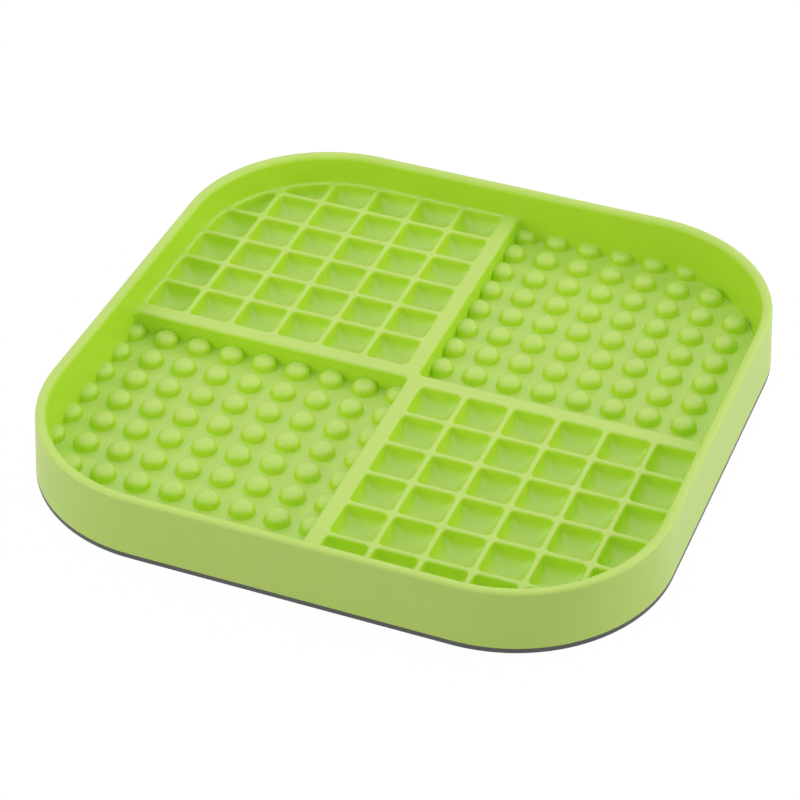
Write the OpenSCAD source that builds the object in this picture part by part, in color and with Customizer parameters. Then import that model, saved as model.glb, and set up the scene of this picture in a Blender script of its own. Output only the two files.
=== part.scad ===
// Square slow feeder bowl: a soft tray with pocket grids and bump fields, bonded to a stiff base plate.
// Frame: +Z up, +X to the right, +Y to the back, origin on the table under the middle of the tray.

/* [Tray] */
// Outside width and depth at the foot of the wall
tray_width = 200; // [180:1:220]
// Height of the rim above the table
tray_height = 21.4; // [19.4:0.5:26.4]
// Outside corner radius at the foot of the wall
corner_radius = 50; // [45:1:55]
// How far the outer face leans in between foot and rim
wall_lean = 1.2; // [0.6:0.1:1.8]
// Wall thickness at the rim
rim_thickness = 3.4; // [3:0.1:4.2]
// Rounding of the two rim edges
rim_rounding = 1.3; // [0.8:0.1:1.4]

/* [Base plate] */
// Thickness of the stiff plate under the tray
plate_thickness = 1.8; // [1:0.1:2.4]
// How far the plate's edge stands out past the foot of the wall
plate_ledge = 0; // [0:0.1:0.8]

/* [Levels] */
// Height of the pocket rims and the divider above the table
grid_level = 11.2; // [10.4:0.2:12.4]
// Depth of the bump fields below the pocket rims
basin_depth = 7.9; // [6.4:0.1:7.9]

/* [Divider] */
// Width of each arm of the divider
divider_width = 5.65; // [5:0.05:7]
// Distance from the centre lines to the near sides of the bump fields
basin_edge = 1.3; // [0.8:0.1:2]
// Rounding of the arm edges that face the bump fields
divider_rounding = 1.2; // [0.6:0.1:1.6]

/* [Pockets] */
// Pockets along each side of a grid
pocket_count = 6; // [5:1:7]
// Thickness of the ribs between the pockets
rib_thickness = 1.9; // [1.4:0.1:2.4]
// Thickness of the rib that borders the wall
border_rib = 1.4; // [1:0.1:2]
// Depth of a pocket at its middle
pocket_depth = 6.4; // [5:0.2:7]
// Radius between a pocket's sides and its floor
pocket_fillet = 4; // [2.5:0.25:4.5]

/* [Bumps] */
// Bumps along each side of a bump field
bump_count = 9; // [7:1:9]
// Distance from the centre lines to the first row of bumps
bump_first = 3.6; // [3:0.1:5]
// Distance between neighbouring bumps
bump_pitch = 11.4; // [11:0.05:11.45]
// Diameter of a bump at its foot
bump_diameter = 8.2; // [6:0.1:9]
// Height of a bump
bump_height = 3.7; // [2.5:0.1:4]

/* [Hidden] */

$fn = 96;
soft_green = [0.65, 0.81, 0.30];
plate_grey = [0.33, 0.35, 0.33];

half = tray_width / 2;
corner_centre = half - corner_radius;
rim_half = half - wall_lean;
inner_half = rim_half - rim_thickness;
basin_floor = grid_level - basin_depth;
cell_start = divider_width - basin_edge;
pocket_limit = inner_half - border_rib;
pocket_pitch = (pocket_limit - cell_start + rib_thickness) / pocket_count;
pocket_width = pocket_pitch - rib_thickness;
// The pocket in the rounded corner is left solid from this rib outwards
last_rib = cell_start + (pocket_count - 1) * pocket_pitch - rib_thickness / 2;
// Flat steps that make up the round between a pocket's side and its floor
fillet_steps = 3;
bump_radius = bump_diameter / 2;
bump_sphere = (bump_radius * bump_radius + bump_height * bump_height) / (2 * bump_height);
// A bump that stands further than this outside the wall line is left out
bump_overhang = 1;
// How far cutters run past the faces that they cut
overcut = 2;

// One corner of a rounded square of the given half width, out to the corner at +X +Y
module quarter_outline(half_width) {
    radius = half_width - corner_centre;
    square([corner_centre, half_width]);
    square([half_width, corner_centre]);
    translate([corner_centre, corner_centre])
        circle(r = radius);
}

// The part of a quarter outline that lies beyond both lines at the given distance
module quarter_field(start, half_width) {
    intersection() {
        quarter_outline(half_width);
        translate([start, start])
            square(half_width);
    }
}

// Section of the wall, drawn as distance from the middle against height
module wall_section() {
    lip = tray_height - rim_rounding;
    polygon([
        [inner_half, plate_thickness],
        [half, plate_thickness],
        [rim_half, lip],
        [inner_half, lip]
    ]);
    translate([inner_half + rim_rounding, lip])
        circle(r = rim_rounding);
    translate([rim_half - rim_rounding, lip])
        circle(r = rim_rounding);
    translate([inner_half + rim_rounding, lip])
        square([rim_thickness - 2 * rim_rounding, rim_rounding]);
}

// One straight side of the wall with the rounded corner that follows it
module wall_side() {
    translate([0, corner_centre, 0])
        rotate([90, 0, 0])
            linear_extrude(2 * corner_centre)
                wall_section();
    translate([corner_centre, corner_centre, 0])
        rotate_extrude(angle = 90)
            translate([-corner_centre, 0])
                wall_section();
}

// Section of a divider arm, rounded on the side that faces a bump field
module arm_section() {
    difference() {
        translate([-cell_start, plate_thickness])
            square([divider_width, grid_level - plate_thickness]);
        translate([basin_edge - divider_rounding, grid_level - divider_rounding])
            square(divider_rounding + overcut);
    }
    translate([basin_edge - divider_rounding, grid_level - divider_rounding])
        circle(r = divider_rounding);
}

// One divider arm, from just past the middle to the rear wall
module divider_arm() {
    translate([0, inner_half, 0])
        rotate([90, 0, 0])
            linear_extrude(inner_half + basin_edge)
                arm_section();
}

// Section of a row of pockets, drawn with the pocket rims at zero
module pocket_section() {
    flat = pocket_width / 2 - pocket_fillet;
    wall_depth = pocket_depth - pocket_fillet;
    right_side = [
        for (step = [0 : fillet_steps])
            let (angle = 90 * step / fillet_steps)
                [flat + pocket_fillet * cos(angle), -wall_depth - pocket_fillet * sin(angle)]
    ];
    left_side = [for (step = [fillet_steps : -1 : 0]) [-right_side[step].x, right_side[step].y]];
    polygon(concat([[pocket_width / 2, overcut]], right_side, left_side, [[-pocket_width / 2, overcut]]));
}

// Parallel channels along Y, one for each row of pockets
module pocket_channels() {
    for (i = [0 : pocket_count - 1])
        translate([cell_start + pocket_width / 2 + i * pocket_pitch, half, grid_level])
            rotate([90, 0, 0])
                linear_extrude(half)
                    pocket_section();
}

// The pockets are where the channels along Y cross the channels along X
module pockets() {
    intersection() {
        pocket_channels();
        mirror([1, -1, 0])
            pocket_channels();
        linear_extrude(grid_level + overcut)
            difference() {
                quarter_field(cell_start, pocket_limit);
                translate([last_rib, last_rib])
                    square(half);
            }
    }
}

// A grid of pockets in the corner at +X +Y
module grid_panel() {
    difference() {
        translate([0, 0, plate_thickness])
            linear_extrude(grid_level - plate_thickness)
                quarter_field(cell_start, inner_half);
        pockets();
    }
}

// True where a bump's middle lies inside the wall line, or just outside it
function bump_stands(x, y) =
    min(x, y) < corner_centre
    || norm([x - corner_centre, y - corner_centre]) < inner_half - corner_centre + bump_overhang;

// The floor of a bump field in the corner at +X +Y
module bump_floor() {
    translate([0, 0, plate_thickness])
        linear_extrude(basin_floor - plate_thickness)
            quarter_field(basin_edge, inner_half);
}

// The bumps that stand on that floor, cut off by the wall and the divider
module bumps() {
    intersection() {
        translate([0, 0, basin_floor])
            linear_extrude(bump_height + overcut)
                quarter_field(basin_edge, inner_half);
        for (i = [0 : bump_count - 1], j = [0 : bump_count - 1]) {
            x = bump_first + i * bump_pitch;
            y = bump_first + j * bump_pitch;
            if (bump_stands(x, y))
                translate([x, y, basin_floor + bump_height - bump_sphere])
                    sphere(r = bump_sphere);
        }
    }
}

// Stiff plate that the tray is bonded to
module base_plate() {
    color(plate_grey)
        linear_extrude(plate_thickness)
            for (turn = [0 : 90 : 270])
                rotate(turn)
                    quarter_outline(half + plate_ledge);
}

// Outer wall with its rounded rim
module rim_wall() {
    color(soft_green)
        for (turn = [0 : 90 : 270])
            rotate(turn)
                wall_side();
}

// Four arms that part the grids from the bump fields
module divider_cross() {
    color(soft_green)
        for (turn = [0, 180])
            rotate(turn) {
                divider_arm();
                mirror([1, 1, 0])
                    divider_arm();
            }
}

// Pocket grid behind and to the left
module grid_panel_rear_left() {
    color(soft_green)
        rotate(90)
            grid_panel();
}

// Pocket grid in front and to the right
module grid_panel_front_right() {
    color(soft_green)
        rotate(270)
            grid_panel();
}

// Floor of the bump field behind and to the right
module bump_floor_rear_right() {
    color(soft_green)
        bump_floor();
}

// Floor of the bump field in front and to the left
module bump_floor_front_left() {
    color(soft_green)
        rotate(180)
            bump_floor();
}

// Bumps behind and to the right
module bumps_rear_right() {
    color(soft_green)
        bumps();
}

// Bumps in front and to the left
module bumps_front_left() {
    color(soft_green)
        rotate(180)
            bumps();
}

base_plate();
rim_wall();
divider_cross();
grid_panel_rear_left();
grid_panel_front_right();
bump_floor_rear_right();
bump_floor_front_left();
bumps_rear_right();
bumps_front_left();
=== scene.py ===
"""Dresses a square slow feeder bowl: a soft lime-green tray bonded to a thin dark grey base plate.

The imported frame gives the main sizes. Lengths are in metres, and heights count from the table.
"""

import logging
import math
from dataclasses import dataclass, field
from enum import Enum
from typing import Iterable, Sequence

import bpy
from mathutils import Matrix, Vector
from mathutils.geometry import delaunay_2d_cdt


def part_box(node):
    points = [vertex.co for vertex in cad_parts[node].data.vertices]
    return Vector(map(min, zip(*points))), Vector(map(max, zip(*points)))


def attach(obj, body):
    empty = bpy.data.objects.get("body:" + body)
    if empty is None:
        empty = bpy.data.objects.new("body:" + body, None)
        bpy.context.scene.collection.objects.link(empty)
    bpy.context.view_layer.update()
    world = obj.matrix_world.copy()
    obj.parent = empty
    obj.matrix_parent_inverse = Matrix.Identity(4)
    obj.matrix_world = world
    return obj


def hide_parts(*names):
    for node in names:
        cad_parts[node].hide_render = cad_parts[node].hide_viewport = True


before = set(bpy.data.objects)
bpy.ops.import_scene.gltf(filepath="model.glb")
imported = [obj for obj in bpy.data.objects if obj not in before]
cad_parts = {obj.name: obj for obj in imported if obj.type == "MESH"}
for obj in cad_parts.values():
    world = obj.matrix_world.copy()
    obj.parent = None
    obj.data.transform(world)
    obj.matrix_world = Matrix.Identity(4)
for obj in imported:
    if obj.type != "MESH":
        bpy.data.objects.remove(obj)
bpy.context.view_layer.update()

LOG = logging.getLogger("slow_feeder_bowl")
BODY = "root"
MM = 0.001
QUARTER = math.pi / 2
# How far a face has to look up, from 0 to 1, before it carries any painted sheen
PAINTED_SHEEN_START = 0.35
NOISE_DETAIL = 3.0
# Values that most of a noise lies between
NOISE_LOW, NOISE_HIGH = 0.3, 0.7

Point = tuple[float, float]
Color = tuple[float, float, float]
Socket = bpy.types.NodeSocket


class Slot(Enum):
    """Names of the record's material slots, one for the tray and one for the plate."""

    TRAY = "tray_rubber"
    PLATE = "base_plate_plastic"


class Corner(Enum):
    """Corners of the tray, as the signs of their X and Y, anticlockwise."""

    REAR_RIGHT = (1, 1)
    REAR_LEFT = (-1, 1)
    FRONT_LEFT = (-1, -1)
    FRONT_RIGHT = (1, -1)


@dataclass(frozen=True)
class TraySizes:
    """Sizes that several pieces share."""

    half: float
    height: float
    plate_top: float
    inner_half: float
    grid_level: float
    basin_floor: float
    basin_edge: float
    cell_start: float
    bump_height: float
    corner_radius: float = 50 * MM
    rim_half: float = 98.8 * MM
    wall_draft: float = 0.5 * MM
    embedding: float = 2.8 * MM
    basin_corner: float = 1.75 * MM

    @classmethod
    def from_frame(cls) -> "TraySizes":
        """Reads the sizes from the boxes of the frame's nodes.

        Returns:
            The sizes of the tray in the frame.
        """
        wall_low, wall_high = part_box("rim_wall")
        divider_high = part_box("divider_cross")[1]
        floor_low, floor_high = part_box("bump_floor_rear_right")
        return cls(
            half=wall_high.x,
            height=wall_high.z,
            plate_top=wall_low.z,
            inner_half=divider_high.x,
            grid_level=divider_high.z,
            basin_floor=floor_high.z,
            basin_edge=floor_low.x,
            cell_start=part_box("grid_panel_front_right")[0].x,
            bump_height=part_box("bumps_rear_right")[1].z - floor_high.z,
        )

    @property
    def core(self) -> float:
        """Distance of the rounded corners' centres from the middle lines."""
        return self.half - self.corner_radius

    @property
    def hidden_half(self) -> float:
        """Half width at which the inner pieces end, out of sight inside the wall."""
        return self.inner_half + self.embedding

    def wall_at(self, level: float) -> float:
        """Gives the half width between the drafted inner faces of the wall.

        Args:
            level: Height above the table.

        Returns:
            The distance from the middle to the inner face at that height.
        """
        return self.inner_half - self.wall_draft * (self.height - level) / (self.height - self.plate_top)


def arc(centre: Point, radius: float, start: float, end: float, steps: int) -> list[Point]:
    """Draws a circular arc.

    Args:
        centre: Centre of the arc.
        radius: Radius of the arc.
        start: First angle in degrees, anticlockwise from +X.
        end: Last angle in degrees.
        steps: Number of straight steps.

    Returns:
        The points of the arc, both ends included.
    """
    angles = [math.radians(start + (end - start) * step / steps) for step in range(steps + 1)]
    return [(centre[0] + radius * math.cos(a), centre[1] + radius * math.sin(a)) for a in angles]


def quarter_turns(steps: int) -> list[float]:
    """Lists the angles that part a quarter turn into equal steps, in radians, both ends included."""
    return [QUARTER * step / steps for step in range(steps + 1)]


def rounded_square(half: float, core: float, steps: int) -> list[Point]:
    """Draws a square with round corners, anticlockwise.

    Args:
        half: Half of the width.
        core: Distance of the corners' centres from the middle lines.
        steps: Straight steps in each corner.

    Returns:
        The points of the outline.
    """
    outline: list[Point] = []
    for turn, corner in enumerate(Corner):
        centre = (corner.value[0] * core, corner.value[1] * core)
        outline += arc(centre, half - core, 90 * turn, 90 * turn + 90, steps)
    return outline


def inset(outline: Sequence[Point], distance: float) -> list[Point]:
    """Moves an anticlockwise outline inwards, with mitred corners.

    Args:
        outline: Points of the closed outline.
        distance: How far to move it. A negative distance moves it outwards.

    Returns:
        As many points as the outline has.
    """
    count = len(outline)
    normals = []
    for index in range(count):
        side = Vector(outline[(index + 1) % count]) - Vector(outline[index])
        normals.append(Vector((-side.y, side.x)).normalized())
    moved = []
    for index in range(count):
        before, after = normals[index - 1], normals[index]
        mitre = (before + after) / (1 + before.dot(after))
        point = Vector(outline[index]) + mitre * distance
        moved.append((point.x, point.y))
    return moved


@dataclass
class MeshDraft:
    """Points and faces of one mesh while it is drawn."""

    points: list[Vector] = field(default_factory=list)
    faces: list[tuple[int, ...]] = field(default_factory=list)

    def ring(self, outline: Iterable[Point], level: float) -> list[int]:
        """Adds a ring of points at one height.

        Args:
            outline: Points of the ring in plan.
            level: Height of the ring.

        Returns:
            The numbers of the new points.
        """
        first = len(self.points)
        self.points += [Vector((x, y, level)) for x, y in outline]
        return list(range(first, len(self.points)))

    def loft(self, rings: Sequence[Sequence[int]]) -> None:
        """Joins each ring to the next one with four-sided faces.

        The faces look outwards where the next ring lies above, up where it lies inside, and inwards where it
        lies below.

        Args:
            rings: Point numbers of anticlockwise rings of one length.
        """
        for first, second in zip(rings, rings[1:]):
            for index in range(len(first)):
                self.faces.append((first[index - 1], first[index], second[index], second[index - 1]))

    def cap(self, ring: Sequence[int], upwards: bool) -> None:
        """Closes a ring with one flat face that looks up or down."""
        self.faces.append(tuple(ring) if upwards else tuple(reversed(ring)))

    def closed_loft(self, rings: Sequence[Sequence[int]]) -> None:
        """Joins rings to each other, and closes the first one downwards and the last one upwards.

        Args:
            rings: Point numbers of anticlockwise rings of one length.
        """
        self.cap(rings[0], upwards=False)
        self.loft(rings)
        self.cap(rings[-1], upwards=True)

    def pierced_plane(self, border: Sequence[int], holes: Sequence[Sequence[int]]) -> None:
        """Fills a flat ring with triangles that look up and leave holes open.

        Args:
            border: Point numbers of the outer ring.
            holes: Point numbers of the rings around the holes.
        """
        numbers: list[int] = []
        loops = []
        for ring in (border, *holes):
            loops.append(list(range(len(numbers), len(numbers) + len(ring))))
            numbers += ring
        flat = [self.points[number].to_2d() for number in numbers]
        inside_only, tolerance = 1, 1e-7
        _, _, triangles, points_from, _, loops_from = delaunay_2d_cdt(flat, [], loops, inside_only, tolerance)
        for triangle, owners in zip(triangles, loops_from):
            if owners == [0]:
                self.faces.append(tuple(numbers[points_from[corner][0]] for corner in triangle))

    def to_object(self, name: str) -> bpy.types.Object:
        """Makes a scene object of the draft.

        Args:
            name: Name of the object and its mesh.

        Returns:
            The new object, at the origin.
        """
        mesh = bpy.data.meshes.new(name)
        mesh.from_pydata(self.points, [], self.faces)
        mesh.update()
        piece = bpy.data.objects.new(name, mesh)
        bpy.context.scene.collection.objects.link(piece)
        return piece


class Wiring:
    """A node tree while it is wired."""

    def __init__(self, tree: bpy.types.NodeTree) -> None:
        """Takes the tree to wire."""
        self.tree = tree

    @staticmethod
    def blank(owner: bpy.types.ID) -> "Wiring":
        """Gives a material or a world an empty node tree.

        Args:
            owner: Material or world.

        Returns:
            The wiring of its tree.
        """
        owner.use_nodes = True
        owner.node_tree.nodes.clear()
        return Wiring(owner.node_tree)

    def node(
        self, kind: str, inputs: dict[str | int, object] | None = None, **settings: object
    ) -> bpy.types.Node:
        """Adds a node and fills its inputs.

        Args:
            kind: Blender's name for the node's type.
            inputs: Values, sockets or lists of sockets, by the identifier or the place of the input.
            **settings: Properties of the node.

        Returns:
            The new node.
        """
        made = self.tree.nodes.new(kind)
        for name, value in settings.items():
            setattr(made, name, value)
        for key, value in (inputs or {}).items():
            target = made.inputs[key] if isinstance(key, int) else self.named(made.inputs, key)
            if isinstance(value, Socket):
                self.tree.links.new(value, target)
            elif isinstance(value, list):
                for source in value:
                    self.tree.links.new(source, target)
            else:
                target.default_value = value
        return made

    @staticmethod
    def named(sockets: Iterable[Socket], key: str) -> Socket:
        """Finds a socket by its identifier, or else by its name.

        Args:
            sockets: Inputs or outputs of a node.
            key: Identifier or name.

        Returns:
            The first socket that fits.
        """
        listed = list(sockets)
        exact = next((socket for socket in listed if socket.identifier == key), None)
        return exact or next(socket for socket in listed if socket.name == key)

    def math(self, operation: str, first: object, second: object) -> Socket:
        """Adds a Math node and returns its result."""
        return self.node("ShaderNodeMath", {0: first, 1: second}, operation=operation).outputs[0]

    def vector(self, operation: str, first: object, second: object = (0, 0, 0)) -> Socket:
        """Adds a Vector Math node and returns its vector."""
        return self.node("ShaderNodeVectorMath", {0: first, 1: second}, operation=operation).outputs["Vector"]

    def length(self, value: Socket) -> Socket:
        """Adds a node that measures a vector and returns its length."""
        return self.node("ShaderNodeVectorMath", {0: value}, operation="LENGTH").outputs["Value"]

    def smooth_step(self, value: Socket, start: float, end: float) -> Socket:
        """Adds a node that rises smoothly from 0 to 1 between two values and returns its result."""
        inputs = {"Value": value, "From Min": start, "From Max": end}
        return self.node("ShaderNodeMapRange", inputs, interpolation_type="SMOOTHSTEP").outputs[0]


class Recipe(Wiring):
    """A geometry node tree with named inputs, which turns a draft into a finished mesh."""

    def __init__(self, name: str) -> None:
        """Starts an empty tree.

        Args:
            name: Name of the tree.
        """
        super().__init__(bpy.data.node_groups.new(name, "GeometryNodeTree"))
        self.tree.interface.new_socket("Geometry", in_out="INPUT", socket_type="NodeSocketGeometry")
        self.tree.interface.new_socket("Geometry", in_out="OUTPUT", socket_type="NodeSocketGeometry")
        self.given = self.tree.nodes.new("NodeGroupInput")
        self.identifiers: dict[str, str] = {}

    def input(self, name: str, kind: str = "Float") -> Socket:
        """Adds a named input.

        Args:
            name: Name of the input.
            kind: Kind of socket, without its NodeSocket prefix.

        Returns:
            The socket that gives the input's value inside the tree.
        """
        item = self.tree.interface.new_socket(name, in_out="INPUT", socket_type="NodeSocket" + kind)
        self.identifiers[name] = item.identifier
        return self.given.outputs[name]

    def combine(self, x: object, y: object, z: object = 0.0) -> Socket:
        """Adds a node that makes a vector of three numbers and returns it."""
        return self.node("ShaderNodeCombineXYZ", {0: x, 1: y, 2: z}).outputs[0]

    def position(self, kept_axes: tuple[int, int, int]) -> Socket:
        """Gives each point's position along some axes, and zero along the others."""
        return self.vector("MULTIPLY", self.node("GeometryNodeInputPosition").outputs[0], kept_axes)

    def lattice(self, core: Socket) -> Socket:
        """Stands copies of a template on a square lattice in one corner of the tray.

        Args:
            core: Half width of the square beyond which the tray's round corner limits the lattice.

        Returns:
            The realized mesh of all copies.
        """
        template = self.node("GeometryNodeObjectInfo", {"Object": self.input("Template", "Object")})
        corner = self.input("Corner", "Vector")
        count = self.input("Count", "Int")
        first, pitch, level, reach = (self.input(name) for name in ("First", "Pitch", "Level", "Reach"))
        span = self.math("MULTIPLY", self.math("SUBTRACT", count, 1), pitch)
        middle = self.math("ADD", first, self.math("DIVIDE", span, 2))
        sheet = self.node(
            "GeometryNodeMeshGrid", {"Size X": span, "Size Y": span, "Vertices X": count, "Vertices Y": count}
        )
        sideways = self.vector("MULTIPLY", corner, self.combine(middle, middle))
        shift = self.vector("ADD", sideways, self.combine(0.0, 0.0, level))
        placed = self.node("GeometryNodeTransform", {"Geometry": sheet.outputs["Mesh"], "Translation": shift})
        distances = self.vector("ABSOLUTE", self.position((1, 1, 0)))
        beyond = self.vector("SUBTRACT", distances, self.combine(core, core))
        stands = self.math("LESS_THAN", self.length(self.vector("MAXIMUM", beyond)), reach)
        copies = self.node(
            "GeometryNodeInstanceOnPoints",
            {
                "Points": placed.outputs["Geometry"],
                "Selection": stands,
                "Instance": self.named(template.outputs, "Geometry"),
            },
        )
        return self.node("GeometryNodeRealizeInstances", {"Geometry": copies.outputs[0]}).outputs[0]

    def finish(self, geometry: Socket) -> None:
        """Ends the tree with the finish of the piece.

        Args:
            geometry: Realized mesh of the whole piece.
        """
        realized = self.node("GeometryNodeRealizeInstances", {"Geometry": geometry})
        dressed = self.node(
            "GeometryNodeSetMaterial",
            {"Geometry": realized.outputs[0], "Material": self.input("Finish", "Material")},
        )
        self.node("NodeGroupOutput", {0: dressed.outputs[0]})

    def cook(self, piece: bpy.types.Object, values: dict[str, object]) -> None:
        """Runs the tree on a piece and keeps the result as the piece's plain mesh.

        Args:
            piece: Object that gives the tree its geometry.
            values: Values of the named inputs.
        """
        modifier = piece.modifiers.new(self.tree.name, "NODES")
        modifier.node_group = self.tree
        for name, value in values.items():
            modifier[self.identifiers[name]] = value
        keep_result(piece)


def keep_result(piece: bpy.types.Object) -> None:
    """Turns what a piece's modifiers make into its plain mesh, and removes them.

    Args:
        piece: Object with at least one modifier.
    """
    graph = bpy.context.evaluated_depsgraph_get()
    shown = piece.evaluated_get(graph)
    mesh = bpy.data.meshes.new_from_object(shown, preserve_all_data_layers=True, depsgraph=graph)
    draft = piece.data
    piece.modifiers.clear()
    piece.data = mesh
    bpy.data.meshes.remove(draft)
    mesh.name = piece.name


def even_shading(piece: bpy.types.Object, crease_degrees: float = 50.0) -> None:
    """Shades a piece smooth, with flat faces kept flat and square edges kept crisp.

    Args:
        piece: Object with a plain mesh.
        crease_degrees: Edges that turn by more than this stay crisp.
    """
    piece.data.shade_smooth()
    piece.data.set_sharp_from_angle(angle=math.radians(crease_degrees))
    weighted = piece.modifiers.new("even_shading", "WEIGHTED_NORMAL")
    weighted.keep_sharp = True
    keep_result(piece)


def settle(piece: bpy.types.Object, slot: Slot, *nodes: str) -> None:
    """Shades a piece, puts it on the frame and reports it.

    Args:
        piece: Object with a plain mesh.
        slot: Material slot of the record for the piece; not used.
        *nodes: Frame nodes that it stands for.
    """
    even_shading(piece)
    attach(piece, BODY)
    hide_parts(*nodes)
    mesh = piece.data
    mesh.calc_loop_triangles()
    triangles = len(mesh.loop_triangles)
    uses = [0] * len(mesh.edges)
    for loop in mesh.loops:
        uses[loop.edge_index] += 1
    open_edges = sum(use != 2 for use in uses)
    LOG.info("%s: %d triangles, %d open edges, for %s", piece.name, triangles, open_edges, nodes)


def moulded_skin(sizes: TraySizes) -> bpy.types.NodeTree:
    """Builds the shader group for the skin of a moulding.

    Faces that look up, and the outside of the tray, carry a pale colour that is painted sheen, standing in
    for the light they reflect; the other faces carry a more saturated colour that is painted shade. Faint
    mottling, a fine grain and uneven gloss cover the whole skin.

    Args:
        sizes: Sizes of the tray, which tell its outside from its inside.

    Returns:
        The group, with a colour, a roughness and a height as outputs.
    """
    group = bpy.data.node_groups.new("moulded_skin", "ShaderNodeTree")
    inputs = {
        "Side Color": "Color",
        "Bloom Color": "Color",
        "Mottle Scale": "Float",
        "Mottle Dark": "Float",
        "Mottle Light": "Float",
        "Grain Scale": "Float",
        "Smooth Roughness": "Float",
        "Dull Roughness": "Float",
    }
    for name, kind in inputs.items():
        group.interface.new_socket(name, in_out="INPUT", socket_type="NodeSocket" + kind)
    for name, kind in {"Color": "Color", "Roughness": "Float", "Height": "Float"}.items():
        group.interface.new_socket(name, in_out="OUTPUT", socket_type="NodeSocket" + kind)
    wiring = Wiring(group)
    given = wiring.node("NodeGroupInput").outputs
    place = wiring.node("ShaderNodeTexCoord").outputs
    # Painted light: upward faces and the tray's outside take the pale painted sheen colour, other faces the
    # saturated painted shade colour
    upward = wiring.node("ShaderNodeSeparateXYZ", {0: place["Normal"]}).outputs["Z"]
    facing_up = wiring.smooth_step(upward, PAINTED_SHEEN_START, 1.0)
    flat = wiring.vector("ABSOLUTE", wiring.vector("MULTIPLY", place["Object"], (1, 1, 0)))
    beyond = wiring.vector("MAXIMUM", wiring.vector("SUBTRACT", flat, (sizes.core, sizes.core, 0)))
    inner, outer = sizes.inner_half - sizes.core, sizes.rim_half - sizes.core
    outside = wiring.smooth_step(wiring.length(beyond), inner, outer)
    painted_sheen = wiring.math("MAXIMUM", facing_up, outside)
    tint = wiring.node(
        "ShaderNodeMix",
        {"Factor_Float": painted_sheen, "A_Color": given["Side Color"], "B_Color": given["Bloom Color"]},
        data_type="RGBA",
    )
    mottle, grain = (
        wiring.node("ShaderNodeTexNoise", {"Vector": place["Object"], "Scale": scale, "Detail": NOISE_DETAIL})
        for scale in (given["Mottle Scale"], given["Grain Scale"])
    )
    spread = wiring.node(
        "ShaderNodeMapRange",
        {
            "Value": mottle.outputs[0],
            "From Min": NOISE_LOW,
            "From Max": NOISE_HIGH,
            "To Min": given["Mottle Dark"],
            "To Max": given["Mottle Light"],
        },
    )
    mottled = wiring.node(
        "ShaderNodeHueSaturation",
        {"Value": spread.outputs[0], "Color": wiring.named(tint.outputs, "Result_Color")},
    )
    gloss = wiring.node(
        "ShaderNodeMapRange",
        {"Value": grain.outputs[0], "To Min": given["Smooth Roughness"], "To Max": given["Dull Roughness"]},
    )
    wiring.node("NodeGroupOutput", {0: mottled.outputs[0], 1: gloss.outputs[0], 2: grain.outputs[0]})
    return group


@dataclass(frozen=True)
class MouldedFinish:
    """Finish of a moulded part: its colours, with painted shade on side faces and painted sheen on upward
    faces, its gloss and grain.
    """

    name: str
    # Painted light: the first colour is painted shade for side faces inside the tray, the second painted
    # sheen for faces that look up and for the outside
    painted_shade_color: Color
    painted_sheen_color: Color
    mottle_size: float
    mottle_strength: float
    grain_size: float
    grain_depth: float
    smooth_roughness: float
    dull_roughness: float
    specular: float = 0.5

    def make(self, skin: bpy.types.NodeTree) -> bpy.types.Material:
        """Builds the material.

        Args:
            skin: Shader group for the skin of a moulding.

        Returns:
            The material.
        """
        material = bpy.data.materials.new(self.name)
        wiring = Wiring.blank(material)
        surface = wiring.node(
            "ShaderNodeGroup",
            {
                "Side Color": (*self.painted_shade_color, 1),
                "Bloom Color": (*self.painted_sheen_color, 1),
                "Mottle Scale": 1 / self.mottle_size,
                "Mottle Dark": 1 - self.mottle_strength,
                "Mottle Light": 1 + self.mottle_strength,
                "Grain Scale": 1 / self.grain_size,
                "Smooth Roughness": self.smooth_roughness,
                "Dull Roughness": self.dull_roughness,
            },
            node_tree=skin,
        )
        grain = wiring.node(
            "ShaderNodeBump", {"Height": surface.outputs["Height"], "Distance": self.grain_depth}
        )
        shader = wiring.node(
            "ShaderNodeBsdfPrincipled",
            {
                "Base Color": surface.outputs["Color"],
                "Roughness": surface.outputs["Roughness"],
                "Normal": grain.outputs[0],
                "Specular IOR Level": self.specular,
            },
        )
        wiring.node("ShaderNodeOutputMaterial", {"Surface": shader.outputs[0]})
        return material


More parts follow.
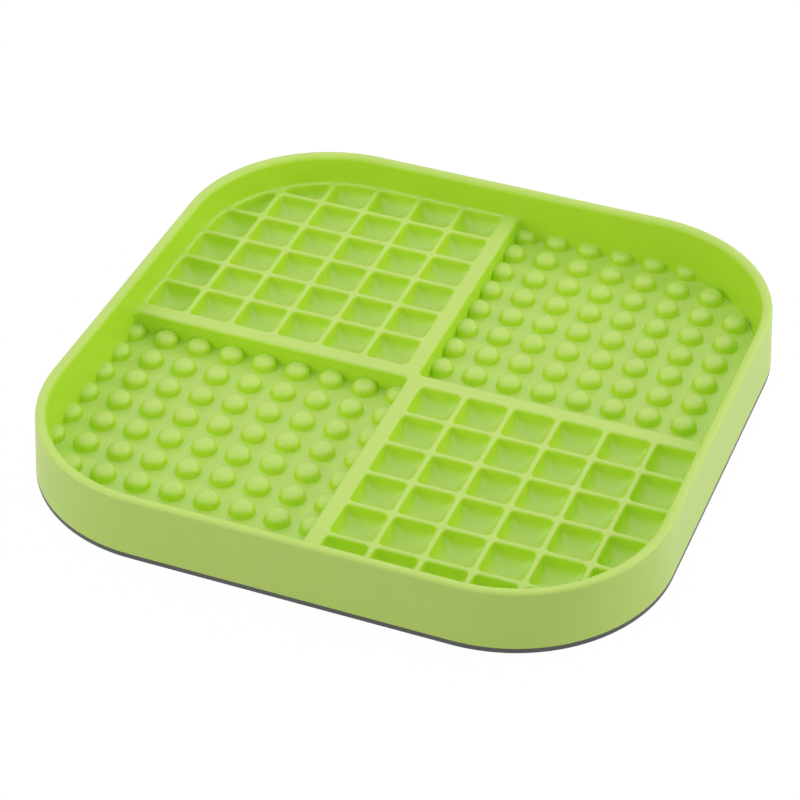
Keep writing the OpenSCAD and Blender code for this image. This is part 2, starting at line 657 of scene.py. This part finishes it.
@dataclass
class RimWall:
    """Upright wall round the tray, swept along a square with round corners."""

    sizes: TraySizes
    inner_rounding: float = 2.0 * MM
    outer_rounding: float = 1.2 * MM
    foot_rounding: float = 0.1 * MM
    corner_steps: int = 30
    rounding_steps: int = 6

    def recipe(self) -> Recipe:
        """Builds the tree that sweeps a rounded section along the path of the wall.

        Returns:
            The tree.
        """
        recipe = Recipe("wall_sweep")
        width = recipe.input("Width")
        square = recipe.node("GeometryNodeCurvePrimitiveQuadrilateral", {"Width": width, "Height": width})
        path = recipe.node(
            "GeometryNodeFilletCurve",
            {
                "Curve": square.outputs[0],
                "Radius": recipe.input("Corner Radius"),
                "Count": recipe.input("Corner Steps", "Int"),
            },
            mode="POLY",
        )
        level_path = recipe.node("GeometryNodeSetCurveNormal", {"Curve": path.outputs[0]}, mode="Z_UP")
        corners = ("Rim Inside", "Rim Outside", "Foot Outside", "Foot Inside")
        section = recipe.node(
            "GeometryNodeCurvePrimitiveQuadrilateral",
            {f"Point {place}": recipe.input(name, "Vector") for place, name in enumerate(corners, 1)},
            mode="POINTS",
        )
        roundings = [recipe.input(name) for name in ("Inner Rounding", "Outer Rounding", "Foot Rounding")]
        radius = recipe.node("GeometryNodeIndexSwitch", data_type="FLOAT")
        while len(radius.index_switch_items) < len(corners):
            radius.index_switch_items.new()
        recipe.tree.links.new(recipe.node("GeometryNodeInputIndex").outputs[0], radius.inputs[0])
        for place, source in enumerate(roundings, 1):
            recipe.tree.links.new(source, radius.inputs[place])
        rounded = recipe.node(
            "GeometryNodeFilletCurve",
            {
                "Curve": section.outputs[0],
                "Radius": radius.outputs[0],
                "Count": recipe.input("Rounding Steps", "Int"),
            },
            mode="POLY",
        )
        swept = recipe.node(
            "GeometryNodeCurveToMesh", {"Curve": level_path.outputs[0], "Profile Curve": rounded.outputs[0]}
        )
        recipe.finish(swept.outputs[0])
        return recipe

    def build(self, finish: bpy.types.Material) -> None:
        """Sweeps the wall.

        Args:
            finish: Material of the soft tray.
        """
        sizes = self.sizes

        def section_point(half: float, level: float) -> tuple[float, float, float]:
            """Gives a point of the section, outwards from the path and down from the table's level."""
            return half - sizes.half, -level, 0.0

        piece = MeshDraft().to_object("tray_wall")
        self.recipe().cook(
            piece,
            {
                "Width": 2 * sizes.half,
                "Corner Radius": sizes.corner_radius,
                "Corner Steps": self.corner_steps,
                "Rim Inside": section_point(sizes.wall_at(sizes.height), sizes.height),
                "Rim Outside": section_point(sizes.rim_half, sizes.height),
                "Foot Outside": section_point(sizes.half, sizes.plate_top),
                "Foot Inside": section_point(sizes.wall_at(sizes.plate_top), sizes.plate_top),
                "Inner Rounding": self.inner_rounding,
                "Outer Rounding": self.outer_rounding,
                "Foot Rounding": self.foot_rounding,
                "Rounding Steps": self.rounding_steps,
                "Finish": finish,
            },
        )
        settle(piece, Slot.TRAY, "rim_wall")


@dataclass(frozen=True)
class PocketPlan:
    """Plan of one pocket: a square cell, which the round corner of the tray may cut."""

    low: Point
    high: Point
    cut_centre: Point = (0.0, 0.0)
    cut_radius: float = math.inf

    def depth_inside(self, x: float, y: float, corner_radius: float = 0.0) -> float:
        """Measures how far inside the outline a point lies.

        Args:
            x: First coordinate of the point.
            y: Second coordinate of the point.
            corner_radius: Rounding of the outline's corners.

        Returns:
            The distance to the rounded outline, negative outside it.
        """
        limits = (
            self.low[0] - x,
            x - self.high[0],
            self.low[1] - y,
            y - self.high[1],
            math.hypot(x - self.cut_centre[0], y - self.cut_centre[1]) - self.cut_radius,
        )
        over = [limit + corner_radius for limit in limits]
        if max(over) <= 0:
            return corner_radius - max(over)
        return corner_radius - math.hypot(*(max(value, 0.0) for value in over))

    def deepest_point(self, steps: int = 60) -> Point:
        """Finds the point that lies farthest inside the outline.

        Args:
            steps: Trial points along each side of the cell.

        Returns:
            The best of the trial points.
        """
        shares = [(step + 0.5) / steps for step in range(steps)]
        across, along = (
            [low + share * (high - low) for share in shares] for low, high in zip(self.low, self.high)
        )
        trials = [(x, y) for x in across for y in along]
        return max(trials, key=lambda trial: self.depth_inside(*trial))

    def outline(
        self, centre: Point, angles: Sequence[float], depth: float, rounding: float, halvings: int = 40
    ) -> list[Point]:
        """Draws the line that runs at one distance inside the outline.

        Args:
            centre: Point inside that line.
            angles: Directions from the centre, in degrees, in which to look for the line.
            depth: Distance inside the outline, negative for a line outside it.
            rounding: Radius of the line's own corners.
            halvings: How often the search halves the stretch that holds the line.

        Returns:
            One point for each direction.
        """
        points = []
        for degrees in angles:
            east, north = math.cos(math.radians(degrees)), math.sin(math.radians(degrees))
            near, far = 0.0, 2 * (self.high[0] - self.low[0])
            for _ in range(halvings):
                half_way = (near + far) / 2
                x, y = centre[0] + half_way * east, centre[1] + half_way * north
                if self.depth_inside(x, y, depth + rounding) > depth:
                    near = half_way
                else:
                    far = half_way
            points.append((centre[0] + near * east, centre[1] + near * north))
        return points


@dataclass
class PocketBlock:
    """Raised block with both pocket grids and the cross-shaped divider between the bump fields."""

    sizes: TraySizes
    pocket_count: int = 6
    rib_thickness: float = 1.9 * MM
    border_rib: float = 1.4 * MM
    rib_rounding: float = 0.8 * MM
    pocket_corner: float = 1.5 * MM
    corner_growth: float = 0.4
    corner_share: float = 0.9
    side_draft: float = 0.1 * MM
    side_depth: float = 1.2 * MM
    dish_width: float = 5.4 * MM
    pocket_depth: float = 6.4 * MM
    divider_rounding: float = 1.2 * MM
    wall_flare: float = 1.5 * MM
    cut_tolerance: float = 0.08 * MM
    weld_distance: float = 0.002 * MM
    rounding_steps: int = 4
    dish_steps: int = 8
    corner_steps: int = 6
    hidden_steps: int = 24
    deepest_ring: float = 0.92

    @property
    def pocket_limit(self) -> float:
        """Half width that holds all pockets."""
        return self.sizes.inner_half - self.border_rib

    @property
    def pitch(self) -> float:
        """Distance between neighbouring pockets."""
        return (self.pocket_limit - self.sizes.cell_start + self.rib_thickness) / self.pocket_count

    @property
    def pocket_half(self) -> float:
        """Half width of a pocket between its sides."""
        return (self.pitch - self.rib_thickness) / 2

    @property
    def first_pocket(self) -> float:
        """Distance from the middle lines to the centre of the first pocket."""
        return self.sizes.cell_start + self.pocket_half

    @property
    def cut_radius(self) -> float:
        """Radius of the arc that cuts the pockets near the tray's round corner."""
        return self.pocket_limit - self.sizes.core

    @property
    def whole_reach(self) -> float:
        """Distance from the round corner's centre up to which a pocket stays whole."""
        return self.cut_radius + self.cut_tolerance

    def outline(self) -> list[Point]:
        """Draws the block's outline, with its far sides out of sight inside the wall.

        Returns:
            The points, anticlockwise. The second half is the first one turned by half a turn.
        """
        sizes = self.sizes
        edge, core, hidden = sizes.basin_edge, sizes.core, sizes.hidden_half
        wall, flare, corner = sizes.inner_half, self.wall_flare, sizes.basin_corner
        half = arc((-core, core), hidden - core, 90, 180, self.hidden_steps)
        half.append((-hidden, -edge - flare))
        half += arc((flare - wall, -edge - flare), flare, 180, 90, self.corner_steps)
        half += arc((-edge - corner, -edge - corner), corner, 90, 0, self.corner_steps)
        half += arc((-edge - flare, flare - wall), flare, 0, -90, self.corner_steps)
        half.append((-edge - flare, -hidden))
        return half + [(-x, -y) for x, y in half]

    def pocket_profile(self) -> list[Point]:
        """Draws half of a pocket's section, from the rib's top to the middle of the floor.

        Returns:
            Pairs of the distance inside the pocket's side and the depth below the rib.
        """
        edge, dish_depth = self.rib_rounding, self.pocket_depth - self.side_depth
        rounded = [
            (edge * math.sin(turn) - edge, edge - edge * math.cos(turn))
            for turn in quarter_turns(self.rounding_steps)
        ]
        dished = [
            (
                self.side_draft + self.dish_width * (1 - math.cos(turn)),
                self.side_depth + dish_depth * math.sin(turn),
            )
            for turn in quarter_turns(self.dish_steps)
        ]
        return rounded + dished

    def pocket(self, draft: MeshDraft, plan: PocketPlan, angles: Sequence[float], top: float) -> list[int]:
        """Draws the inside of one pocket.

        Args:
            draft: Mesh to draw in.
            plan: Plan of the pocket.
            angles: Directions of the points of each ring, in degrees.
            top: Height of the rib's top.

        Returns:
            Point numbers of the ring at the rib's top.
        """
        centre = plan.deepest_point()
        deepest = plan.depth_inside(*centre)
        rings = []
        for side, depth in self.pocket_profile():
            if side <= self.deepest_ring * deepest:
                grown = self.pocket_corner + side * (self.corner_growth if side > 0 else -1)
                rounding = min(grown, self.corner_share * (deepest - side))
                rings.append(draft.ring(plan.outline(centre, angles, side, rounding), top - depth))
        draft.loft(rings)
        draft.cap(rings[-1], upwards=True)
        return rings[0]

    def square_angles(self) -> list[float]:
        """Lists the directions of the points in a whole pocket's rings, closer together at its corners."""
        to_side = (2.4, 4.8, 7.2, 11.0, 16.0, 23.0, 31.0)
        from_corner = (*(-step for step in reversed(to_side)), 0.0, *to_side, 45.0)
        return [45 + 90 * turn + step for turn in range(4) for step in from_corner]

    def template(self) -> MeshDraft:
        """Draws a whole pocket about the origin, with its ribs' tops at zero."""
        half = self.pocket_half
        draft = MeshDraft()
        self.pocket(draft, PocketPlan((-half, -half), (half, half)), self.square_angles(), 0.0)
        return draft

    def cells(self, corner: Corner) -> Iterable[tuple[Point, bool]]:
        """Goes through the pockets in one corner of the tray. The cell in the round corner itself is solid.

        Args:
            corner: Corner of the tray.

        Yields:
            The centre of each pocket, and whether the round corner leaves the pocket whole.
        """
        last = self.pocket_count - 1
        for column in range(self.pocket_count):
            for row in range(self.pocket_count):
                x, y = (self.first_pocket + place * self.pitch for place in (column, row))
                reach = (max(value + self.pocket_half - self.sizes.core, 0.0) for value in (x, y))
                if (column, row) != (last, last):
                    centre = (x * corner.value[0], y * corner.value[1])
                    yield centre, math.hypot(*reach) < self.whole_reach

    def draw(self, template: MeshDraft) -> MeshDraft:
        """Draws the block with a hole for every whole pocket, and with the cut pockets in place.

        Args:
            template: A whole pocket about the origin, whose first ring is its top.

        Returns:
            The block's mesh.
        """
        sizes, draft, outline = self.sizes, MeshDraft(), self.outline()
        rings = [draft.ring(outline, sizes.plate_top)]
        for turn in quarter_turns(self.rounding_steps):
            moved = inset(outline, self.divider_rounding * (1 - math.cos(turn)))
            rings.append(draft.ring(moved, sizes.grid_level - self.divider_rounding * (1 - math.sin(turn))))
        draft.cap(rings[0], upwards=False)
        draft.loft(rings)
        mouth = template.points[:len(self.square_angles())]
        holes = []
        for corner in (Corner.REAR_LEFT, Corner.FRONT_RIGHT):
            for (x, y), whole in self.cells(corner):
                if whole:
                    holes.append(draft.ring([(x + p.x, y + p.y) for p in mouth], sizes.grid_level))
                else:
                    holes.append(self.cut_pocket(draft, corner, (x, y)))
        draft.pierced_plane(rings[-1], holes)
        return draft

    def cut_pocket(self, draft: MeshDraft, corner: Corner, centre: Point, steps: int = 72) -> list[int]:
        """Draws a pocket that the tray's round corner cuts.

        Args:
            draft: Mesh to draw in.
            corner: Corner of the tray.
            centre: Centre of the whole cell.
            steps: Points in each ring.

        Returns:
            Point numbers of the ring at the rib's top.
        """
        half, core = self.pocket_half, self.sizes.core
        plan = PocketPlan(
            (centre[0] - half, centre[1] - half),
            (centre[0] + half, centre[1] + half),
            (corner.value[0] * core, corner.value[1] * core),
            self.cut_radius,
        )
        return self.pocket(draft, plan, [360 * step / steps for step in range(steps)], self.sizes.grid_level)

    def recipe(self) -> Recipe:
        """Builds the tree that sets whole pockets into the block's holes in one corner.

        Returns:
            The tree.
        """
        recipe = Recipe("pocket_grid")
        pockets = recipe.lattice(recipe.input("Core"))
        joined = recipe.node("GeometryNodeJoinGeometry", {0: [recipe.given.outputs[0], pockets]})
        welded = recipe.node(
            "GeometryNodeMergeByDistance",
            {"Geometry": joined.outputs[0], "Distance": recipe.input("Weld Distance")},
        )
        recipe.finish(welded.outputs[0])
        return recipe

    def build(self, finish: bpy.types.Material) -> None:
        """Builds the block.

        Args:
            finish: Material of the soft tray.
        """
        sizes = self.sizes
        pocket = self.template()
        piece = self.draw(pocket).to_object("pocket_block")
        template = pocket.to_object("pocket_template")
        recipe = self.recipe()
        for corner in (Corner.REAR_LEFT, Corner.FRONT_RIGHT):
            recipe.cook(
                piece,
                {
                    "Template": template,
                    "Corner": (*corner.value, 0.0),
                    "Count": self.pocket_count,
                    "First": self.first_pocket,
                    "Pitch": self.pitch,
                    "Level": sizes.grid_level,
                    "Core": sizes.core - self.pocket_half,
                    "Reach": self.whole_reach,
                    "Weld Distance": self.weld_distance,
                    "Finish": finish,
                },
            )
        bpy.data.objects.remove(template)
        settle(piece, Slot.TRAY, "divider_cross", "grid_panel_rear_left", "grid_panel_front_right")


@dataclass
class BumpField:
    """Sunk floor in one corner of the tray, with rows of round bumps on it."""

    sizes: TraySizes
    corner: Corner
    name: str
    nodes: tuple[str, ...]
    count: int = 9
    first: float = 3.6 * MM
    pitch: float = 11.4 * MM
    radius: float = 4.1 * MM
    fullness: float = 2.8
    foot_rounding: float = 0.35 * MM
    root: float = 0.6 * MM
    overhang: float = 1.0 * MM
    cove: float = 0.25 * MM
    sides: int = 16
    foot_steps: int = 2
    dome_steps: int = 5
    crown_step: float = 0.5
    corner_steps: int = 6
    wall_steps: int = 36

    def floor_outline(self, depth: float) -> list[Point]:
        """Draws the line that runs at one distance inside the floor's sides.

        Args:
            depth: Distance from the divider and the wall, negative to run inside them.

        Returns:
            The points, anticlockwise.
        """
        sizes = self.sizes
        near, far = sizes.basin_edge + depth, sizes.wall_at(sizes.basin_floor) - depth
        small = sizes.basin_corner - depth
        outline = arc((far - small, near + small), small, -90, 0, self.corner_steps)
        outline += arc((sizes.core, sizes.core), far - sizes.core, 0, 90, self.wall_steps)
        outline += arc((near + small, far - small), small, 90, 180, self.corner_steps)
        outline += arc((near + small, near + small), small, 180, 270, self.corner_steps)
        sign = self.corner.value[0]
        return [(sign * x, sign * y) for x, y in outline]

    def draw_floor(self) -> MeshDraft:
        """Draws the floor with a cove that rises to its sides.

        Returns:
            The floor's mesh, closed out of sight inside the wall and the divider.
        """
        draft, sizes = MeshDraft(), self.sizes
        hidden = self.floor_outline(-self.cove / 2)
        rings = [draft.ring(hidden, sizes.plate_top), draft.ring(hidden, sizes.basin_floor + self.cove)]
        for turn in quarter_turns(self.corner_steps):
            line = self.floor_outline(self.cove * (1 - math.cos(turn)))
            rings.append(draft.ring(line, sizes.basin_floor + self.cove * (1 - math.sin(turn))))
        draft.closed_loft(rings)
        return draft

    def template(self) -> MeshDraft:
        """Draws one bump about the origin, rooted a little below the floor.

        Returns:
            The bump's closed mesh.
        """
        draft, foot, height = MeshDraft(), self.foot_rounding, self.sizes.bump_height
        profile = [(self.radius + foot, -self.root)]
        profile += arc((self.radius + foot, foot), foot, 270, 180, self.foot_steps)
        lowest = math.asin((foot / height) ** (self.fullness / 2))
        for step in range(self.dome_steps):
            turn = lowest + (QUARTER - lowest) * (step + 1) / (self.dome_steps + self.crown_step)
            reach = math.cos(turn) ** (2 / self.fullness)
            rise = math.sin(turn) ** (2 / self.fullness)
            profile.append((self.radius * reach, height * rise))
        rings = []
        for radius, level in profile:
            circle = arc((0.0, 0.0), radius, 0, 360, self.sides)[:-1]
            rings.append(draft.ring(circle, level))
        draft.closed_loft(rings)
        return draft

    def recipe(self) -> Recipe:
        """Builds the tree that stands bumps on the floor and stops them inside the wall.

        Returns:
            The tree.
        """
        recipe = Recipe("bump_rows")
        core = recipe.input("Core")
        bumps = recipe.lattice(core)
        flat = recipe.position((1, 1, 0))
        reach = recipe.vector("ABSOLUTE", flat)
        inner = recipe.vector("MINIMUM", reach, recipe.combine(core, core))
        outer = recipe.vector("SUBTRACT", reach, inner)
        share = recipe.math("MINIMUM", recipe.math("DIVIDE", recipe.input("Stop"), recipe.length(outer)), 1.0)
        kept = recipe.vector("ADD", inner, recipe.vector("MULTIPLY", outer, recipe.combine(share, share)))
        signed = recipe.vector("MULTIPLY", kept, recipe.vector("SIGN", flat))
        stopped = recipe.node(
            "GeometryNodeSetPosition",
            {"Geometry": bumps, "Position": recipe.vector("ADD", signed, recipe.position((0, 0, 1)))},
        )
        joined = recipe.node("GeometryNodeJoinGeometry", {0: [recipe.given.outputs[0], stopped.outputs[0]]})
        recipe.finish(joined.outputs[0])
        return recipe

    def build(self, finish: bpy.types.Material) -> None:
        """Builds the field.

        Args:
            finish: Material of the soft tray.
        """
        sizes = self.sizes
        piece = self.draw_floor().to_object(self.name)
        template = self.template().to_object("bump_template")
        self.recipe().cook(
            piece,
            {
                "Template": template,
                "Corner": (*self.corner.value, 0.0),
                "Count": self.count,
                "First": self.first,
                "Pitch": self.pitch,
                "Level": sizes.basin_floor,
                "Core": sizes.core,
                "Reach": sizes.inner_half - sizes.core + self.overhang,
                "Stop": sizes.hidden_half - sizes.core,
                "Finish": finish,
            },
        )
        bpy.data.objects.remove(template)
        settle(piece, Slot.TRAY, *self.nodes)


@dataclass
class BasePlate:
    """Thin stiff plate that the tray is bonded to."""

    sizes: TraySizes
    lower_rounding: float = 0.4 * MM
    upper_rounding: float = 0.2 * MM
    corner_steps: int = 30
    rounding_steps: int = 4

    def build(self, finish: bpy.types.Material) -> None:
        """Builds the plate with rounded edges.

        Args:
            finish: Material of the plate.
        """
        low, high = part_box("base_plate")
        lower, upper, turns = self.lower_rounding, self.upper_rounding, quarter_turns(self.rounding_steps)
        edge = [(lower * (1 - math.sin(turn)), low.z + lower * (1 - math.cos(turn))) for turn in turns]
        edge += [(upper * (1 - math.cos(turn)), high.z - upper * (1 - math.sin(turn))) for turn in turns]
        draft, rings = MeshDraft(), []
        for back, level in edge:
            line = rounded_square(high.x - back, self.sizes.core, self.corner_steps)
            rings.append(draft.ring(line, level))
        draft.closed_loft(rings)
        piece = draft.to_object("plate")
        piece.data.materials.append(finish)
        settle(piece, Slot.PLATE, "base_plate")


@dataclass(frozen=True)
class Lamp:
    """Square soft lamp that shines at the object."""

    name: str
    place: tuple[float, float, float]
    size: float
    power: float

    def build(self) -> None:
        """Hangs the lamp."""
        light = bpy.data.lights.new(self.name, "AREA")
        light.energy = self.power
        light.size = self.size
        lamp = bpy.data.objects.new(self.name, light)
        lamp.visible_camera = False
        lamp.location = self.place
        lamp.rotation_euler = Vector(self.place).to_track_quat("Z", "Y").to_euler()
        bpy.context.scene.collection.objects.link(lamp)


@dataclass(frozen=True)
class Studio:
    """White studio: a pale floor, soft light from above and a camera at the photograph's angle."""

    azimuth: float = 21.215
    elevation: float = 37.509
    roll: float = -0.364
    distance: float = 840.2 * MM
    target: tuple[float, float, float] = (0.79 * MM, -13.46 * MM, 11.2 * MM)
    focal_pixels: float = 2735.24
    frame_pixels: float = 800.0
    sensor: float = 36.0
    floor_half: float = 6.0
    floor_gap: float = 0.05 * MM
    floor_color: Color = (0.4, 0.4, 0.4)
    floor_lift: float = 0.92
    floor_glow: float = 1.06
    sky_strength: float = 0.58
    lamps: tuple[Lamp, ...] = (
        Lamp("lamp_top", (-0.05, 0.15, 0.45), 0.7, 0.36),
        Lamp("lamp_left", (-0.5, -0.45, 0.3), 0.35, 0.84),
        Lamp("lamp_right", (0.9, 0.15, 0.22), 0.35, 1.32),
        Lamp("lamp_rear", (0.5, 0.4, 0.4), 0.4, 0.54),
    )

    def seen_directly(self, wiring: Wiring) -> Socket:
        """Adds nodes that are 1 for what the camera, mirrors and glass see, and 0 for light.

        Args:
            wiring: Tree to add them to.

        Returns:
            The result.
        """
        path = wiring.node("ShaderNodeLightPath").outputs
        by_mirror_or_glass = wiring.math("MAXIMUM", path["Is Glossy Ray"], path["Is Transmission Ray"])
        return wiring.math("MAXIMUM", path["Is Camera Ray"], by_mirror_or_glass)

    def make_floor(self) -> None:
        """Lays a pale floor that shows nearly white and keeps the object's shadow."""
        size, draft = self.floor_half, MeshDraft()
        outline = [(-size, -size), (size, -size), (size, size), (-size, size)]
        draft.cap(draft.ring(outline, -self.floor_gap), upwards=True)
        floor = draft.to_object("studio_floor")
        material = bpy.data.materials.new("studio_floor")
        wiring = Wiring.blank(material)
        paint = wiring.node("ShaderNodeBsdfDiffuse", {"Color": (*self.floor_color, 1)})
        white = wiring.node("ShaderNodeEmission", {"Color": (1, 1, 1, 1), "Strength": self.floor_glow})
        lift = wiring.math("MULTIPLY", self.seen_directly(wiring), self.floor_lift)
        mixed = wiring.node("ShaderNodeMixShader", {0: lift, 1: paint.outputs[0], 2: white.outputs[0]})
        wiring.node("ShaderNodeOutputMaterial", {"Surface": mixed.outputs[0]})
        floor.data.materials.append(material)

    def make_sky(self) -> None:
        """Surrounds the scene with soft white light that shows as white."""
        world = bpy.data.worlds.new("studio_sky")
        wiring = Wiring.blank(world)
        strength = wiring.node(
            "ShaderNodeMapRange",
            {"Value": self.seen_directly(wiring), "To Min": self.sky_strength, "To Max": 1.0},
        )
        sky = wiring.node("ShaderNodeBackground", {"Color": (1, 1, 1, 1), "Strength": strength.outputs[0]})
        wiring.node("ShaderNodeOutputWorld", {"Surface": sky.outputs[0]})
        bpy.context.scene.world = world

    def make_camera(self) -> None:
        """Sets the camera where the photograph was taken."""
        turn, lift, roll = (math.radians(value) for value in (self.azimuth, self.elevation, self.roll))
        back = Vector((math.sin(turn) * math.cos(lift), -math.cos(turn) * math.cos(lift), math.sin(lift)))
        right = Vector((math.cos(turn), math.sin(turn), 0.0))
        up = back.cross(right)
        across = right * math.cos(roll) - up * math.sin(roll)
        upright = right * math.sin(roll) + up * math.cos(roll)
        data = bpy.data.cameras.new("studio_camera")
        data.sensor_width = self.sensor
        data.lens = self.sensor * self.focal_pixels / self.frame_pixels
        camera = bpy.data.objects.new("studio_camera", data)
        place = Vector(self.target) + back * self.distance
        turned = Matrix((across, upright, back)).transposed().to_4x4()
        camera.matrix_world = Matrix.Translation(place) @ turned
        bpy.context.scene.collection.objects.link(camera)
        bpy.context.scene.camera = camera

    def build(self) -> None:
        """Sets up the whole studio."""
        self.make_camera()
        self.make_floor()
        self.make_sky()
        for lamp in self.lamps:
            lamp.build()
        bpy.context.scene.view_settings.view_transform = "Standard"


SOFT_RUBBER = MouldedFinish(
    name="soft_green_rubber",
    # Painted shade on the side faces inside the tray, painted sheen on upward faces and on the outside of the
    # tray
    painted_shade_color=(0.54, 0.82, 0.03),
    painted_sheen_color=(0.61, 0.84, 0.15),
    mottle_size=22 * MM,
    mottle_strength=0.02,
    grain_size=0.3 * MM,
    grain_depth=0.01 * MM,
    smooth_roughness=0.36,
    dull_roughness=0.5,
    specular=0.8,
)
PLATE_PLASTIC = MouldedFinish(
    name="dark_grey_plastic",
    # Both colours carry painted light: the darker one painted shade, the lighter one painted sheen on upward
    # faces and on the outside, which takes in the plate's edge
    painted_shade_color=(0.085, 0.09, 0.085),
    painted_sheen_color=(0.12, 0.125, 0.12),
    mottle_size=15 * MM,
    mottle_strength=0.06,
    grain_size=0.25 * MM,
    grain_depth=0.015 * MM,
    smooth_roughness=0.45,
    dull_roughness=0.65,
)


def main() -> None:
    """Builds the pieces, dresses them and sets up the studio."""
    logging.basicConfig(level=logging.INFO, format="%(message)s")
    sizes = TraySizes.from_frame()
    Studio().build()
    skin = moulded_skin(sizes)
    rubber, plastic = SOFT_RUBBER.make(skin), PLATE_PLASTIC.make(skin)
    BasePlate(sizes).build(plastic)
    RimWall(sizes).build(rubber)
    PocketBlock(sizes).build(rubber)
    for corner in (Corner.REAR_RIGHT, Corner.FRONT_LEFT):
        place = corner.name.lower()
        nodes = (f"bump_floor_{place}", f"bumps_{place}")
        BumpField(sizes, corner, f"bump_field_{place}", nodes).build(rubber)


if __name__ == "__main__":
    main()
